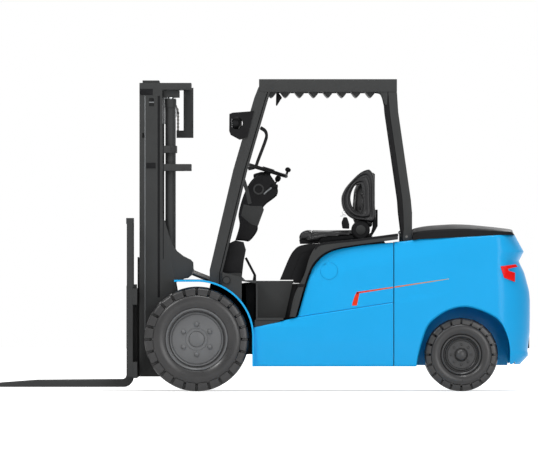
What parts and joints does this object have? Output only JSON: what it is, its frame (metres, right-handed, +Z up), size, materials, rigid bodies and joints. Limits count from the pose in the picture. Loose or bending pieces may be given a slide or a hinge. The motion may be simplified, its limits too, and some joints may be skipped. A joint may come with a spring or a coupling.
{
  "type": "electric counterbalance forklift truck",
  "caption": "Four-wheel counterbalance forklift truck with a tilting two-stage mast, fork carriage, overhead guard and rear-wheel steering.",
  "frame": {"origin": "on the floor under the middle of the truck's overall length and width, forks included", "axes": "+X towards the rear, along the length; +Y towards the right side; +Z up. The forks point to -X."},
  "size_m": [3.82, 1.23, 2.125],
  "materials": {
    "blue_paint": "gloss",
    "dark_paint": "satin",
    "black_plastic": "matte",
    "seat_leather": "satin",
    "bright_steel": "polished",
    "rim_paint": "satin",
    "tyre_rubber": "matte",
    "battery_case": "satin",
    "red_lens": "gloss"
  },
  "bodies": {
    "chassis": {"frame": "dark_paint", "drive_axle": "dark_paint", "fenders": "blue_paint", "floor_step": "dark_paint", "sill_left": "blue_paint", "sill_right": "blue_paint", "side_panel_left": "blue_paint", "side_panel_right": "blue_paint", "counterweight": "blue_paint", "rear_cover": "black_plastic", "tow_pin": "bright_steel", "battery": "battery_case", "front_cowl": "dark_paint", "dash_console": "dark_paint", "pedals": "black_plastic", "levers": "black_plastic", "guard_roof": "dark_paint", "front_pillars": "dark_paint", "rear_pillars": "dark_paint", "grab_handle": "black_plastic", "head_lamps": "black_plastic", "tail_lamps": "red_lens", "steer_axle": "dark_paint"},
    "hood": {"battery_hood": "dark_paint", "seat_base": "black_plastic", "seat_cushion": "seat_leather", "seat_back": "seat_leather", "seat_wings": "seat_leather"},
    "hand_wheel": {"steering_wheel": "black_plastic"},
    "drive_left": {"drive_tyre_left": "tyre_rubber", "drive_rim_left": "rim_paint"},
    "drive_right": {"drive_tyre_right": "tyre_rubber", "drive_rim_right": "rim_paint"},
    "knuckle_body_left": {"knuckle_left": "dark_paint"},
    "knuckle_body_right": {"knuckle_right": "dark_paint"},
    "steer_left": {"steer_tyre_left": "tyre_rubber", "steer_rim_left": "rim_paint"},
    "steer_right": {"steer_tyre_right": "tyre_rubber", "steer_rim_right": "rim_paint"},
    "mast_outer": {"outer_mast": "dark_paint", "lift_barrels": "dark_paint", "chain_rear": "bright_steel"},
    "mast_inner": {"inner_mast": "dark_paint", "lift_rods": "bright_steel", "chain_wheels": "bright_steel", "chain_front": "bright_steel"},
    "lift_carriage": {"carriage": "dark_paint", "forks": "dark_paint", "load_backrest": "dark_paint"},
    "tilt_cyl_left": {"tilt_barrel_left": "dark_paint"},
    "tilt_cyl_right": {"tilt_barrel_right": "dark_paint"},
    "tilt_piston_left": {"tilt_rod_left": "bright_steel"},
    "tilt_piston_right": {"tilt_rod_right": "bright_steel"}
  },
  "joints": [
    {"name": "drive_left_spin", "type": "hinge", "parent": "chassis", "child": "drive_left", "pos_m": [-0.36, -0.5, 0.355], "axis": [0, 1, 0], "continuous": true},
    {"name": "drive_right_spin", "type": "hinge", "parent": "chassis", "child": "drive_right", "pos_m": [-0.36, 0.5, 0.355], "axis": [0, 1, 0], "continuous": true},
    {"name": "steer_left", "type": "hinge", "parent": "chassis", "child": "knuckle_body_left", "pos_m": [1.44, -0.35, 0.25], "axis": [0, 0, 1], "range_deg": [-75, 75]},
    {"name": "steer_right", "type": "hinge", "parent": "chassis", "child": "knuckle_body_right", "pos_m": [1.44, 0.35, 0.25], "axis": [0, 0, 1], "range_deg": [-75, 75]},
    {"name": "steer_left_spin", "type": "hinge", "parent": "knuckle_body_left", "child": "steer_left", "pos_m": [1.44, -0.48, 0.25], "axis": [0, 1, 0], "continuous": true},
    {"name": "steer_right_spin", "type": "hinge", "parent": "knuckle_body_right", "child": "steer_right", "pos_m": [1.44, 0.48, 0.25], "axis": [0, 1, 0], "continuous": true},
    {"name": "hand_wheel_turn", "type": "hinge", "parent": "chassis", "child": "hand_wheel", "pos_m": [0.12503, 0, 1.5039], "axis": [0.2924, 0, 0.9563], "continuous": true},
    {"name": "mast_tilt", "type": "hinge", "parent": "chassis", "child": "mast_outer", "pos_m": [-0.36, 0, 0.355], "axis": [0, 1, 0], "range_deg": [-6, 12]},
    {"name": "mast_lift", "type": "slide", "parent": "mast_outer", "child": "mast_inner", "axis": [0, 0, 1], "range_m": [0, 1.5], "deforming": ["chain_rear"]},
    {"name": "carriage_lift", "type": "slide", "parent": "mast_inner", "child": "lift_carriage", "axis": [0, 0, 1], "range_m": [0, 1.5], "deforming": ["chain_front"]},
    {"name": "hood_hinge", "type": "hinge", "parent": "chassis", "child": "hood", "pos_m": [1.032, 0, 1.08], "axis": [0, 1, 0], "range_deg": [0, 45]},
    {"name": "tilt_cyl_left_hinge", "type": "hinge", "parent": "chassis", "child": "tilt_cyl_left", "pos_m": [0.06, -0.32, 0.628], "axis": [0, 1, 0], "range_deg": [-2.7, 5.2]},
    {"name": "tilt_rod_left_slide", "type": "slide", "parent": "tilt_cyl_left", "child": "tilt_piston_left", "axis": [-0.9283, 0, 0.3717], "range_m": [-0.089, 0.045]},
    {"name": "tilt_cyl_right_hinge", "type": "hinge", "parent": "chassis", "child": "tilt_cyl_right", "pos_m": [0.06, 0.32, 0.628], "axis": [0, 1, 0], "range_deg": [-2.7, 5.2]},
    {"name": "tilt_rod_right_slide", "type": "slide", "parent": "tilt_cyl_right", "child": "tilt_piston_right", "axis": [-0.9283, 0, 0.3717], "range_m": [-0.089, 0.045]}
  ],
  "couplings": [
    {"joint": "steer_right", "follows": "steer_left", "ratio": 1},
    {"joint": "carriage_lift", "follows": "mast_lift", "ratio": 1},
    {"joint": "tilt_cyl_left_hinge", "follows": "mast_tilt", "ratio": 0.42},
    {"joint": "tilt_rod_left_slide", "follows": "mast_tilt", "m_per_rad": -0.4154},
    {"joint": "tilt_cyl_right_hinge", "follows": "mast_tilt", "ratio": 0.42},
    {"joint": "tilt_rod_right_slide", "follows": "mast_tilt", "m_per_rad": -0.4154}
  ]
}
